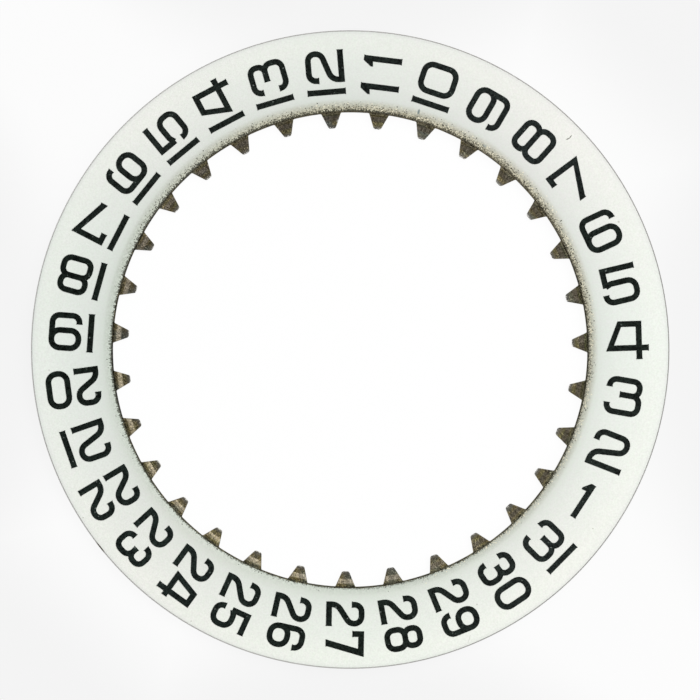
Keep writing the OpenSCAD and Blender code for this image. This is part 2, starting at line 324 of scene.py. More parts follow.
def make_dab():
    """The mask of one small mark: an oval with soft edges, with its centre and size in millimetres."""
    inputs = {"Place": "Vector", "Centre": "Vector", "Turn": "Float", "Length": "Float", "Width": "Float"}
    tree, given, result = new_group("dab", inputs, {"Mask": "Float"})
    ends = {0: scaled(tree, given["Place"], 1 / MM), 1: given["Centre"]}
    moved = add_node(tree, "ShaderNodeVectorMath", ends, operation="SUBTRACT")
    angle = product(tree, maths(tree, "RADIANS", given["Turn"]), -1.0)
    turning = {"Vector": moved.outputs[0], "Axis": (0, 0, 1), "Angle": angle}
    turned = add_node(tree, "ShaderNodeVectorRotate", turning, rotation_type="AXIS_ANGLE")
    parts = add_node(tree, "ShaderNodeSeparateXYZ", {0: turned.outputs[0]}).outputs
    x = maths(tree, "DIVIDE", parts["X"], product(tree, given["Length"], 0.5))
    y = maths(tree, "DIVIDE", parts["Y"], product(tree, given["Width"], 0.5))
    far = maths(tree, "SQRT", total(tree, maths(tree, "POWER", x, 2.0), maths(tree, "POWER", y, 2.0)))
    tree.links.new(soft_step(tree, far, 1.3, 0.6), result["Mask"])
    return tree


polar_place = make_polar_place()
mottle = make_mottle()
grain_specks = make_grain_specks()
turning_marks = make_turning_marks()
streaks = make_streaks()
dab = make_dab()


class Finish:
    """A material in the making, with its nodes, its shader and each point's place on the disc."""

    def __init__(self, name):
        self.material = bpy.data.materials.new(name)
        self.material.use_nodes = True
        self.tree = self.material.node_tree
        self.shader = self.tree.nodes["Principled BSDF"]
        self.place = self.tree.nodes.new("ShaderNodeTexCoord").outputs["Object"]
        polar = use_group(self.tree, polar_place, {"Place": self.place})
        self.radius = polar["Radius"]
        self.height = polar["Height"]
        self.bearing = polar["Bearing"]

    def mottled(self, size, contrast, shift):
        """Soft cloudy patches of a size in millimetres, between 0 and 1."""
        values = {"Place": self.place, "Size": size, "Contrast": contrast, "Shift": shift}
        return use_group(self.tree, mottle, values)["Value"]

    def grains(self, size, share, shift):
        """Grains of a size in millimetres: a mask of the share that is chosen, and a tone for each."""
        values = {"Place": self.place, "Grain": size, "Share": share, "Shift": shift}
        return use_group(self.tree, grain_specks, values)

    def streaked(self, width, length, contrast):
        """Streaks along the radius with a width and length in millimetres, between 0 and 1."""
        place = {"Radius": self.radius, "Bearing": self.bearing}
        values = {"Width": width, "Length": length, "Contrast": contrast}
        return use_group(self.tree, streaks, place | values)["Value"]

    def side(self, towards, low=-1.0, high=1.0):
        """1 on the side of the disc at one bearing and 0 on the far side. It steps between two cosines."""
        angle = maths(self.tree, "RADIANS", maths(self.tree, "SUBTRACT", self.bearing, towards))
        return soft_step(self.tree, maths(self.tree, "COSINE", angle), low, high)

    def round_disc(self, stops):
        """A colour that changes round the disc. Each stop is a bearing from -180 to 180 and its colour."""
        place = maths(self.tree, "ADD", maths(self.tree, "DIVIDE", self.bearing, 360.0), 0.5)
        return colour_along(self.tree, place, [(angle / 360 + 0.5, colour) for angle, colour in stops])

    def with_flaws(self, colour, marks):
        """A colour with small marks laid over it."""
        for x, y, turn, length, width, weight, tint in marks:
            spot = {"Place": self.place, "Centre": (x, y, 0.0), "Turn": turn}
            mark = use_group(self.tree, dab, spot | {"Length": length, "Width": width})["Mask"]
            colour = blend_colour(self.tree, product(self.tree, mark, weight), colour, shade(*tint))
        return colour

    def surface(self, inputs):
        """Gives the shader its colour and the like."""
        fill(self.tree, self.shader, inputs)

    def relief(self, height, strength, depth):
        """Fine relief of the surface, with its depth in millimetres."""
        values = {"Height": height, "Strength": strength, "Distance": depth * MM}
        bump = add_node(self.tree, "ShaderNodeBump", values)
        self.surface({"Normal": bump.outputs[0]})


# Small flaws: place and size in millimetres, turn in degrees, strength and colour
lacquer_flaws = {
    "hair start": (7.995, 7.284, 21.0, 0.13, 0.04, 0.9, (66, 58, 46)),
    "hair end": (8.09, 7.354, 50.0, 0.15, 0.035, 0.9, (66, 58, 46)),
    "spot by the 6": (9.72, 4.27, 0.0, 0.07, 0.07, 0.6, (168, 160, 150)),
    "scratch below the 29": (3.936, -10.466, -107.5, 0.33, 0.03, 0.4, (186, 186, 174)),
    "end of the scratch": (3.9, -10.7, 0.0, 0.05, 0.05, 0.55, (140, 136, 122)),
    "smudge by the 10": (2.7, 8.41, 72.0, 0.2, 0.08, 0.8, (84, 104, 108)),
    "smudge by the 9": (5.02, 7.12, -35.0, 0.15, 0.08, 0.5, (140, 152, 156)),
}
edge_flaws = {
    "chip at the edge": (-9.13, -6.79, -53.3, 0.46, 0.07, 0.9, (84, 74, 60)),
    "nick in a tooth": (-0.209, 8.195, 65.0, 0.11, 0.05, 0.9, (214, 210, 202)),
}
specks = [
    (8.47, -6.65),
    (-5.97, -9.52),
    (-9.71, -5.71),
    (4.25, -9.23),
    (-10.77, -0.41),
    (3.67, -10.78),
    (3.44, -10.85),
]
speck_look = (0.0, 0.05, 0.05, 0.5, (140, 138, 126))


# Nickel

# Bearings of the middle of each side that looks different, each with painted light or shade
shaded_bearing = 45.0
lit_bearing = 50.0
outer_slope_shade_bearing = -138.0
flats_shade_bearing = 150.0
slope_shade_bearing = 125.0
rim_shade_bearing = 15.0
# How far short of the land the painted shade on the outer half of the slope is at its darkest
outer_slope_shade_gap = 0.05
# Dirt and painted shade in the corner by the wall: how far in from the root circle it starts, further on
# the shaded side where it paints the wall's shadow, and the depth that it covers
grime_and_shade_in = 0.06
grime_and_shade_in_shaded = 0.1
grime_and_shade_depth = 0.03
# It fades out under the film, between these distances out from the film's edge
grime_and_shade_fade = (0.07, 0.02)
# Distances out from the tip circle between which the bare metal ends and the painted shade of the upper
# left starts
bare_fade = (0.16, 0.06)
side_shade_fade = (0.03, 0.15)
# Distances out from the root circle between which the rubbed foot starts
foot_fade = (0.04, 0.12)
# A point this close to a face counts as on it
skin = 0.005

stain_tones = [
    (0.0, (0.150, 0.158, 0.135, 1)),
    (0.3, (0.172, 0.165, 0.115, 1)),
    (0.55, (0.200, 0.165, 0.088, 1)),
    (0.8, (0.187, 0.170, 0.082, 1)),
    (1.0, (0.236, 0.205, 0.132, 1)),
]
scrape_tones = [(0.0, (0.095, 0.080, 0.054, 1)), (1.0, (0.270, 0.238, 0.184, 1))]
# Painted shade of the land between the step and the wall round the disc, darkest from the right round to
# the top where the wall's shadow falls; and below it the tone of the dirt in the corner, with painted light
# and shade round the disc
land_painted_shade = [
    (-180.0, (0.76, 0.74, 0.68, 1)),
    (-135.0, (0.54, 0.54, 0.52, 1)),
    (-90.0, (0.75, 0.69, 0.53, 1)),
    (-45.0, (0.86, 0.88, 0.92, 1)),
    (0.0, (0.28, 0.33, 0.27, 1)),
    (45.0, (0.34, 0.34, 0.30, 1)),
    (90.0, (0.27, 0.26, 0.19, 1)),
    (135.0, (0.96, 0.96, 0.96, 1)),
    (180.0, (0.76, 0.74, 0.68, 1)),
]
# Tone of the dirt in the corner round the disc, with painted light and shade: light on the upper right,
# near black on the left
grime_light_and_shade_tones = [
    (-180.0, (0.006, 0.007, 0.004, 1)),
    (-135.0, (0.075, 0.076, 0.058, 1)),
    (-90.0, (0.042, 0.043, 0.029, 1)),
    (-45.0, (0.135, 0.131, 0.093, 1)),
    (0.0, (0.100, 0.093, 0.060, 1)),
    (45.0, (0.300, 0.265, 0.185, 1)),
    (90.0, (0.150, 0.133, 0.088, 1)),
    (135.0, (0.058, 0.056, 0.040, 1)),
    (180.0, (0.006, 0.007, 0.004, 1)),
]


def sandy_stains(finish, stain, fine, grit):
    """Brown and olive stains with sandy grains, a few of them much brighter."""
    tree = finish.tree
    sand = product(tree, between(tree, fine, 0.65, 1.15), total(tree, grit, 0.45))
    sparkle = soft_step(tree, grit, 0.88, 0.94, 0.0, 0.8)
    return scaled(tree, colour_along(tree, stain, stain_tones), total(tree, sand, sparkle))


def land_with_painted_shade(finish, colour):
    """The land on the upper side with painted shade, darker or lighter from one side of the disc to the
    next.
    """
    tree = finish.tree
    land = product(
        tree,
        soft_step(tree, finish.radius, land_r - step_ease, land_r + step_ease),
        soft_step(tree, finish.height, land_z - 3 * skin, land_z - skin),
    )
    # Painted shade: the land is multiplied by a tone that changes round the disc
    painted_land = blend_colour(tree, land, colour, finish.round_disc(land_painted_shade), "MULTIPLY")
    return scaled(tree, painted_land, between(tree, land, 1.0, 1.4))


def slope_mask(finish):
    """1 on the turned slope of the step."""
    return product(
        finish.tree,
        soft_step(finish.tree, finish.radius, step_r - step_ease, step_r + step_ease),
        soft_step(finish.tree, finish.radius, land_r + step_ease, land_r - step_ease),
    )


def scraped_slope(finish, colour, slope, shaded_side, grit):
    """The slope is scraped along the radius and greyer than the flats. It has painted light on the shaded
    side of the disc, and painted shade on its outer half on the lower left.
    """
    tree = finish.tree
    scrapes = finish.streaked(width=0.06, length=0.3, contrast=2.0)
    scraped = colour_along(tree, scrapes, scrape_tones)
    # Painted shade on the outer half of the slope, on the lower left
    outer_slope_shade = product(
        tree,
        finish.side(outer_slope_shade_bearing, 0.68, 1.0),
        soft_step(tree, finish.radius, step_r, land_r - outer_slope_shade_gap, 0.0, 0.64),
    )
    # Painted light lifts the slope on the shaded side
    painted_light_shade_and_grit = product(
        tree,
        between(tree, shaded_side, 1.0, 1.4),
        maths(tree, "SUBTRACT", 1.0, outer_slope_shade),
        between(tree, grit, 0.6, 1.4),
    )
    return blend_colour(tree, product(tree, slope, 0.75), colour, scaled(tree, scraped, painted_light_shade_and_grit))


def bare_tips(finish, colour, grit):
    """Greyer metal towards the tips, lighter on the diagonals as a painted sheen, and painted glints on
    grains of the noses, more of them on the lit side.
    """
    tree = finish.tree
    bare = soft_step(tree, finish.radius, tip_r + bare_fade[0], tip_r + bare_fade[1], 0.0, 0.65)
    # Painted sheen: the bare metal is lighter on the diagonals
    double_turn = maths(tree, "RADIANS", product(tree, finish.bearing, 2.0))
    diagonal_sheen = maths(tree, "ABSOLUTE", maths(tree, "SINE", double_turn))
    bare_tone_and_sheen = blend_colour(tree, diagonal_sheen, (0.122, 0.118, 0.108, 1), (0.185, 0.180, 0.165, 1))
    greyer = blend_colour(tree, bare, colour, bare_tone_and_sheen)
    nose = soft_step(tree, finish.radius, tip_r + 2.2 * tip_bevel, tip_r + 0.8 * tip_bevel)
    # Painted glints on the noses, more and brighter on the lit side
    lit_side = finish.side(lit_bearing)
    above = maths(tree, "SUBTRACT", grit, between(tree, lit_side, 0.62, 0.42))
    bright = product(tree, nose, soft_step(tree, above, 0.0, 0.15))
    painted_glint = blend_colour(tree, lit_side, (0.44, 0.43, 0.39, 1), (0.92, 0.90, 0.84, 1))
    return blend_colour(tree, bright, greyer, painted_glint)


def painted_side_shade(finish, colour, slope):
    """Dark painted shade on the upper left of the disc. It reaches less far round on the slope and is thin
    at the tips.
    """
    tree = finish.tree
    on_flats = product(tree, finish.side(flats_shade_bearing, 0.1, 0.9), maths(tree, "SUBTRACT", 1.0, slope))
    on_slope = product(tree, finish.side(slope_shade_bearing, 0.4, 1.0), slope)
    reach = soft_step(tree, finish.radius, tip_r + side_shade_fade[0], tip_r + side_shade_fade[1], 0.3, 1.0)
    # Painted shade, a darkening of the flats and the slope on the upper left
    side_shade = product(tree, total(tree, on_flats, on_slope), reach)
    return blend_colour(tree, side_shade, colour, (0.63, 0.63, 0.67, 1), "MULTIPLY")


def grime_and_shade_mask(finish, shaded_side, grit):
    """1 where patchy dirt and painted shade lie on the land, in the corner by the wall."""
    tree = finish.tree
    # Painted shade: on the shaded side it reaches further in, as the wall's shadow
    start = between(tree, shaded_side, root_r - grime_and_shade_in, root_r - grime_and_shade_in_shaded)
    return product(
        tree,
        soft_step(tree, finish.radius, start, root_r + skin),
        soft_step(tree, finish.radius, film_in_r + grime_and_shade_fade[0], film_in_r + grime_and_shade_fade[1]),
        soft_step(tree, finish.height, land_z - grime_and_shade_depth, land_z - skin),
        soft_step(tree, grit, 0.3, 0.95, 0.97, 0.7),
    )


def painted_rim_and_rubbed_foot(finish, colour, rim, stain):
    """The rim has painted light and shade, dark on the right and light on the left, and the foot is rubbed
    clean where it slides.
    """
    tree = finish.tree
    # Painted light and shade on the rim: dark towards the right, light towards the left
    dark_side = finish.side(rim_shade_bearing)
    edge = blend_colour(tree, dark_side, (0.76, 0.75, 0.73, 1), (0.20, 0.195, 0.185, 1))
    rim_light_and_shade = blend_colour(tree, rim, colour, edge)
    sliding = product(
        tree,
        soft_step(tree, finish.height, 0.2 * foot_bevel, 0.05 * foot_bevel),
        soft_step(tree, finish.radius, root_r + foot_fade[0], root_r + foot_fade[1]),
        soft_step(tree, stain, 0.2, 0.8, 0.7, 0.4),
    )
    return blend_colour(tree, sliding, rim_light_and_shade, (0.44, 0.42, 0.37, 1))


def make_nickel():
    """Nickel plated brass, turned, with brown and olive stains, dirt and painted shade in the corner by the
    wall, and painted light and shade that change round the disc.
    """
    finish = Finish("tarnished nickel")
    tree = finish.tree
    stain = finish.mottled(size=0.9, contrast=3.2, shift=1.3)
    fine = finish.mottled(size=0.09, contrast=2.2, shift=4.1)
    grit = finish.grains(size=0.036, share=1.0, shift=2.0)["Tone"]
    slope = slope_mask(finish)
    shaded_side = finish.side(shaded_bearing, 0.0, 0.9)
    stains_and_land_shade = land_with_painted_shade(finish, sandy_stains(finish, stain, fine, grit))
    scraped = scraped_slope(finish, stains_and_land_shade, slope, shaded_side, grit)
    dark = painted_side_shade(finish, bare_tips(finish, scraped, grit), slope)
    grime_and_shade = grime_and_shade_mask(finish, shaded_side, grit)
    # The dirt's colour, with painted light and shade round the disc
    dust = scaled(tree, finish.round_disc(grime_light_and_shade_tones), between(tree, grit, 0.15, 2.0))
    rim = soft_step(tree, finish.radius, disc_r - 2 * edge_bevel, disc_r - edge_bevel)
    worn = painted_rim_and_rubbed_foot(finish, blend_colour(tree, grime_and_shade, dark, dust), rim, stain)
    look = {
        "Base Color": finish.with_flaws(worn, edge_flaws.values()),
        "Metallic": maths(tree, "SUBTRACT", 1.0, product(tree, rim, 0.5)),
        "Roughness": total(tree, between(tree, fine, 0.42, 0.3), product(tree, grime_and_shade, 0.25)),
    }
    finish.surface(look)
    values = {"Place": finish.place, "Radius": finish.radius, "Feed": 0.03}
    rings = use_group(tree, turning_marks, values)["Height"]
    uneven = total(tree, product(tree, rings, 0.3), product(tree, grit, 0.7))
    finish.relief(uneven, strength=0.5, depth=0.004)
    return finish.material


# White lacquer

# Where the shoulder is rubbed: the bearings of the worst and the brownest side, and how far the
# rubbing reaches out on the far side and on the worst
rub_bearing = 76.0
warm_bearing = 45.0
rub_low = 0.28
rub_high = 0.42
# A side with some dust of its own
dusty_bearing = 180.0
# Dark fringe at the film's inner edge: its middle bearing and its width
fringe_bearing = 135.0
fringe_w = 0.11
# How far out from that edge its own specks and its rough surface go
edge_speck_w = 0.08
rough_w = 0.45

# Tone of the clean film from its inner to its outer edge
film_tones = [
    (0.0, shade(211, 217, 206)),
    (0.08, shade(214, 220, 210)),
    (0.18, shade(226, 231, 224)),
    (0.36, shade(235, 239, 232)),
    (0.56, shade(239, 243, 236)),
    (0.85, shade(247, 250, 242)),
    (0.96, shade(246, 249, 242)),
    (1.0, shade(232, 235, 230)),
]
# Slight tint and painted shade round the disc, darkest towards the top
tints_and_painted_shade = [
    (-180.0, shade(248, 251, 251)),
    (-135.0, shade(255, 253, 253)),
    (-90.0, shade(253, 255, 253)),
    (-45.0, shade(254, 252, 252)),
    (0.0, shade(249, 252, 251)),
    (45.0, shade(251, 249, 250)),
    (90.0, shade(244, 247, 246)),
    (130.0, shade(253, 253, 253)),
    (155.0, shade(248, 251, 250)),
    (180.0, shade(248, 251, 251)),
]
# Tones of the rubbed grains, from dark to light, on the brownest side and on the far side
warm_tones = [
    (0.0, shade(86, 77, 47)),
    (0.4, shade(160, 152, 118)),
    (1.0, shade(230, 224, 196)),
]
cool_tones = [
    (0.0, shade(118, 126, 112)),
    (0.4, shade(176, 185, 172)),
    (1.0, shade(222, 229, 219)),
]
# Crisp specks over them: bearing of the worst side, share along the edge itself, shares beyond it on
# the far and on the worst side, how fast they thin out, colour and seed
crisp_specks = [
    (66.0, 0.2, 0.05, 0.5, 2.9, shade(42, 39, 24), 11.0),
    (10.0, 0.0, 0.0, 0.24, 2.4, shade(240, 233, 206), 17.0),
]


def from_edge(finish, width):
    """0 at the film's inner edge and 1 at a width out from it."""
    return maths(finish.tree, "DIVIDE", maths(finish.tree, "SUBTRACT", finish.radius, film_in_r), width)


def sprayed_white(finish, cloud, grain):
    """The clean film with its clouds, a slight tint and painted shade round the disc, the fine pores of the
    spray and a faint play of hue.
    """
    tree = finish.tree
    clean = colour_along(tree, from_edge(finish, film_out_r - film_in_r), film_tones)
    clouded = blend_colour(tree, product(tree, cloud, 0.2), clean, shade(224, 228, 222))
    # Painted shade round the disc, with a slight tint
    tinted_and_shaded = blend_colour(tree, 1.0, clouded, finish.round_disc(tints_and_painted_shade), "MULTIPLY")
    pored = blend_colour(tree, product(tree, grain, 0.42), tinted_and_shaded, shade(207, 210, 202))
    hue = finish.mottled(size=0.12, contrast=3.0, shift=12.0)
    cast = blend_colour(tree, hue, (1.0, 0.98, 1.0, 1), (0.98, 1.0, 0.98, 1))
    return blend_colour(tree, 1.0, pored, cast, "MULTIPLY")


def dusty(finish, colour, wear, rubbed_side, warm_side, dark_side, grain):
    """A haze of dust rubbed into the surface."""
    tree = finish.tree
    dustiness = total(
        tree,
        between(tree, rubbed_side, 0.78, 0.7),
        product(tree, dark_side, 0.3),
        product(tree, finish.side(dusty_bearing, 0.6, 1.0), 0.25),
    )
    haze = product(tree, wear, between(tree, grain, 0.35, 0.95), dustiness)
    haze_tone = blend_colour(tree, warm_side, shade(156, 166, 153), shade(166, 156, 126))
    return blend_colour(tree, haze, colour, haze_tone)


def grainy(finish, colour, wear, rubbed_side, warm_side):
    """Mottled grains that fade out from the edge."""
    tree = finish.tree
    tone = finish.grains(size=0.045, share=1.0, shift=5.0)["Tone"]
    warm = colour_along(tree, tone, warm_tones)
    cool = colour_along(tree, tone, cool_tones)
    most = between(tree, rubbed_side, 0.22, 0.85)
    cover = product(tree, maths(tree, "POWER", wear, 1.5), most)
    return blend_colour(tree, cover, colour, blend_colour(tree, warm_side, cool, warm))


def speckled(finish, colour, wear):
    """Crisp dark and bright specks that thin out from the edge."""
    tree = finish.tree
    by_edge = soft_step(tree, finish.radius, film_in_r + edge_speck_w, film_in_r)
    for worst, edge, low, high, power, tint, shift in crisp_specks:
        most = between(tree, finish.side(worst, -0.4, 0.8), low, high)
        thinning = product(tree, most, maths(tree, "POWER", wear, power))
        share = maths(tree, "MAXIMUM", thinning, product(tree, by_edge, edge))
        mask = finish.grains(size=0.033, share=share, shift=shift)["Mask"]
        colour = blend_colour(tree, product(tree, mask, 0.94), colour, tint)
    return colour


def fringed(finish, colour, dark_side):
    """Short dark spikes along the inner edge, longest on the upper left."""
    tree = finish.tree
    shorter = between(tree, dark_side, 0.32, 0.08)
    longest = finish.streaked(width=0.05, length=0.2, contrast=3.0)
    spikes = maths(tree, "SUBTRACT", longest, shorter)
    inside = soft_step(tree, maths(tree, "SUBTRACT", spikes, from_edge(finish, fringe_w)), 0.0, 0.12)
    strength = between(tree, dark_side, 0.62, 0.92)
    return blend_colour(tree, product(tree, inside, strength), colour, shade(46, 48, 33))


def make_lacquer():
    """White lacquer with a faint green cast, rubbed and speckled on the shoulder."""
    finish = Finish("white lacquer")
    tree = finish.tree
    cloud = finish.mottled(size=1.6, contrast=1.6, shift=7.0)
    grain = finish.mottled(size=0.06, contrast=2.4, shift=9.0)
    # Rubbing reaches further out on one side of the disc, where the white has a faint blush as well
    rubbed_side = finish.side(rub_bearing, -0.7, 1.0)
    warm_side = finish.side(warm_bearing, -0.7, 1.0)
    dark_side = finish.side(fringe_bearing, -0.2, 0.8)
    reach = total(tree, rub_low, product(tree, rubbed_side, rub_high - rub_low))
    wear = maths(tree, "SUBTRACT", 1.0, from_edge(finish, reach), clamp=True)
    blush = product(tree, rubbed_side, 0.5)
    white = sprayed_white(finish, cloud, grain)
    blushed = blend_colour(tree, blush, white, (0.985, 0.955, 0.97, 1), "MULTIPLY")
    hazy = dusty(finish, blushed, wear, rubbed_side, warm_side, dark_side, grain)
    worn = speckled(finish, grainy(finish, hazy, wear, rubbed_side, warm_side), wear)
    marks = [*lacquer_flaws.values(), *edge_flaws.values(), *[(x, y, *speck_look) for x, y in specks]]
    look = {
        "Base Color": finish.with_flaws(fringed(finish, worn, dark_side), marks),
        "Roughness": between(tree, cloud, 0.42, 0.52),
    }
    finish.surface(look)
    rub = soft_step(tree, finish.radius, film_in_r + rough_w, film_in_r, 0.08, 1.0)
    finish.relief(product(tree, grain, rub), strength=0.6, depth=0.006)
    return finish.material


# Printing ink

# Sheen of the ink round the disc, which lightens it on the diagonals
ink_sheen = [
    (-180.0, (0.0, 0.0, 0.0, 1)),
    (-135.0, (0.007, 0.01, 0.01, 1)),
    (-90.0, (0.002, 0.0027, 0.002, 1)),
    (-45.0, (0.0125, 0.014, 0.0145, 1)),
    (0.0, (0.0033, 0.0038, 0.003, 1)),
    (25.0, (0.003, 0.0036, 0.0036, 1)),
    (45.0, (0.0115, 0.0125, 0.0145, 1)),
    (90.0, (0.0027, 0.0027, 0.0027, 1)),
    (135.0, (0.0075, 0.008, 0.008, 1)),
    (160.0, (0.0, 0.0, 0.0, 1)),
    (180.0, (0.0, 0.0, 0.0, 1)),
]


def make_ink():
    """Printed ink, near black with a green cast, and a few pale flecks where it missed."""
    finish = Finish("printing ink")
    tree = finish.tree
    cloud = finish.mottled(size=0.14, contrast=4.5, shift=3.0)
    grain = finish.mottled(size=0.06, contrast=8.0, shift=2.0)
    thick = total(tree, product(tree, cloud, 0.45), product(tree, grain, 0.55))
    body = blend_colour(tree, thick, (0.0, 0.0004, 0.0, 1), (0.0115, 0.0178, 0.014, 1))
    uneven = between(tree, thick, 0.4, 1.0)
    lit = blend_colour(tree, uneven, body, finish.round_disc(ink_sheen), "ADD")
    flecks = finish.grains(size=0.045, share=0.005, shift=8.0)
    fleck_tone = blend_colour(tree, flecks["Tone"], shade(56, 64, 60), shade(100, 106, 102))
    look = {
        "Base Color": blend_colour(tree, flecks["Mask"], lit, fleck_tone),
        "Roughness": between(tree, cloud, 0.5, 0.62),
        "Specular IOR Level": 0.05,
    }
    finish.surface(look)
    finish.relief(grain, strength=0.1, depth=0.004)
    return finish.material


nickel = make_nickel()
lacquer = make_lacquer()
ink = make_ink()


# Toothed blank: one tooth and the half gaps beside it, repeated round the axis

def eased(distance, width):
    """A ramp that starts at 0 and whose corner is rounded over a width on each side."""
    if distance <= -width:
        return 0.0
    if distance >= width:
        return distance
    return (distance + width) ** 2 / (4 * width)


def nose_drop(r):
    """How far the rounded nose of a tooth falls away from its face."""
    inside = min(tip_bevel, tip_r + tip_bevel - r)
    return tip_bevel - math.sqrt(tip_bevel ** 2 - inside ** 2) if inside > 0 else 0.0


def upper_z(r):
    """Height of the upper face inside the wall: tooth, turned step and land."""
    rise = eased(r - step_r, step_ease) - eased(r - land_r, step_ease)
    return tooth_t + step_h / step_w * rise - nose_drop(r)


nose_rows = [tip_r + tip_bevel * (1 - math.cos(a)) for a in spread(math.pi / 6, math.pi / 2, 3)]
nose_end = tip_r + tip_bevel + burr_round
corner_rows = spread(-step_ease, step_ease, 4)
face_rows = [
    *nose_rows,
    nose_end,
    *[step_r + offset for offset in corner_rows],
    *[land_r + offset for offset in corner_rows],
    wall_r,
]


def shoulder_z(r):
    """Height of the bare metal outside the wall, on the shoulder and the band."""
    inside = max(0.0, shoulder_r - r)
    return band_z - shoulder_arc_r + math.sqrt(shoulder_arc_r ** 2 - inside ** 2)


def rim_section():
    """Radius and height of the points that every radial cut shares, from the wall round to the foot."""
    wall_top = [(wall_r, shoulder_z(wall_r))]
    shoulder = [(r, shoulder_z(r)) for r in spread(wall_r, shoulder_r, 10)[1:]]
    quarter = spread(0, math.pi / 2, 3)
    edge_r = disc_r - edge_bevel
    top_edge = [
        (edge_r + edge_bevel * math.sin(a), band_z - edge_bevel * (1 - math.cos(a))) for a in quarter
    ]
    low_edge = [
        (edge_r + edge_bevel * math.cos(a), band_lift + edge_bevel * (1 - math.sin(a))) for a in quarter
    ]
    band = [(edge_r - burr_round, band_z), *top_edge, *low_edge, (edge_r - burr_round, band_lift)]
    foot = [(foot_r + foot_bevel, band_lift), (foot_r, band_lift - foot_bevel), (foot_r, 0.0)]
    return wall_top + shoulder + band + foot


def tooth_side():
    """One side of the tooth on +X, from the middle of its tip to the middle of the gap.
    Each entry is a point and the direction from it into the metal."""
    f = tooth_flank
    tip_c = Vector((tip_r + tip_round, tooth_tip_w / 2 - tip_round * (1 - math.sin(f)) / math.cos(f)))
    fillet_c_r = root_r - root_round
    flank_off = tooth_tip_w / 2 * math.cos(f) + root_round
    fillet_a = f + math.asin((flank_off - tip_r * math.sin(f)) / fillet_c_r)
    fillet_c = fillet_c_r * toward(fillet_a)
    side = [(Vector((tip_r, 0.0)), Vector((1.0, 0.0)))]
    for a in spread(math.pi, math.pi / 2 + f, 6):
        side.append((tip_c + tip_round * toward(a), -toward(a)))
    for a in spread(f - math.pi / 2, fillet_a, 6):
        side.append((fillet_c + root_round * toward(a), toward(a)))
    for a in spread(fillet_a, half_pitch, 8)[1:]:
        side.append((root_r * toward(a), toward(a)))
    return side


def inset(entry):
    """The point of the upper and lower face beside a point of the outline, inside the rounded edge."""
    point, into = entry
    return point + burr_round * into


def with_crossings(side):
    """The same side with an entry added wherever a row of the face crosses it."""
    full = [side[0]]
    for before, after in zip(side, side[1:]):
        r0 = inset(before).length
        r1 = inset(after).length
        for row in face_rows:
            if r0 < row < r1:
                share = (row - r0) / (r1 - r0)
                into = before[1].lerp(after[1], share).normalized()
                full.append((before[0].lerp(after[0], share), into))
        full.append(after)
    return full


def radial_cut(entry, rim):
    """A closed loop of points through the blank at one point of the outline."""
    edge = entry[0]
    start = inset(entry)
    r0 = start.length
    out = start / r0
    low = max(nose_drop(edge.length), nose_drop(r0) + burr_round)
    high = min(upper_z(edge.length), upper_z(r0) - burr_round)
    loop = [(edge.x, edge.y, low), (edge.x, edge.y, high)]
    rows = [(r0, upper_z(r0))]
    rows += [(max(r, r0), upper_z(max(r, r0))) for r in face_rows]
    rows += rim
    rows += [(max(r, r0), nose_drop(max(r, r0))) for r in (nose_end, *reversed(nose_rows))]
    rows += [(r0, nose_drop(r0))]
    return loop + [(out.x * r, out.y * r, z) for r, z in rows]


def joined_loops(loops, closed):
    """Points and faces of a skin over a row of loops. Points that coincide become one."""
    places = {}
    points = []
    numbered = []
    for loop in loops:
        numbers = []
        for p in loop:
            key = tuple(round(c, 6) for c in p)
            if key not in places:
                places[key] = len(points)
                points.append(p)
            numbers.append(places[key])
        numbered.append(numbers)
    faces = []
    pairs = list(zip(numbered, numbered[1:]))
    if closed:
        pairs.append((numbered[-1], numbered[0]))
    for this, following in pairs:
        for k in range(len(this)):
            after = (k + 1) % len(this)
            corners = [this[k], following[k], following[after], this[after]]
            face = list(dict.fromkeys(corners))
            if len(face) > 2:
                faces.append(face)
    return points, faces


def repeat_tree():
    """Geometry nodes that repeat a sector round the axis and weld its seams."""
    inputs = {"Sector": "Geometry", "Count": "Int", "Weld Distance": "Float", "Finish": "Material"}
    outputs = {"Ring": "Geometry"}
    tree, given, result = new_group("repeat round axis", inputs, outputs, "GeometryNodeTree")
    spots = add_node(tree, "GeometryNodePoints", {"Count": given["Count"]})
    index = tree.nodes.new("GeometryNodeInputIndex").outputs[0]
    step = maths(tree, "DIVIDE", math.tau, given["Count"])
    turning = {"Axis": (0, 0, 1), "Angle": product(tree, index, step)}
    turn = add_node(tree, "FunctionNodeAxisAngleToRotation", turning)
    placed = {"Points": spots.outputs[0], "Instance": given["Sector"], "Rotation": turn.outputs[0]}
    copies = add_node(tree, "GeometryNodeInstanceOnPoints", placed)
    real = add_node(tree, "GeometryNodeRealizeInstances", {"Geometry": copies.outputs[0]})
    joined = {"Geometry": real.outputs[0], "Distance": given["Weld Distance"]}
    weld = add_node(tree, "GeometryNodeMergeByDistance", joined)
    dressing = {"Geometry": weld.outputs[0], "Material": given["Finish"]}
    dressed = add_node(tree, "GeometryNodeSetMaterial", dressing)
    tree.links.new(dressed.outputs[0], result["Ring"])
    return tree


def run_tree(piece, tree, values):
    """Runs a geometry tree on a piece with named values and keeps the result as its plain mesh."""
    modifier = piece.modifiers.new(tree.name, "NODES")
    modifier.node_group = tree
    names = {item.name: item.identifier for item in tree.interface.items_tree if item.in_out == "INPUT"}
    for name, value in values.items():
        modifier[names[name]] = value
    shown = piece.evaluated_get(bpy.context.evaluated_depsgraph_get())
    mesh = bpy.data.meshes.new_from_object(shown)
    piece.modifiers.clear()
    old = piece.data
    piece.data = mesh
    bpy.data.meshes.remove(old)
    mesh.name = piece.name
    tidy_mesh(mesh)
    return piece


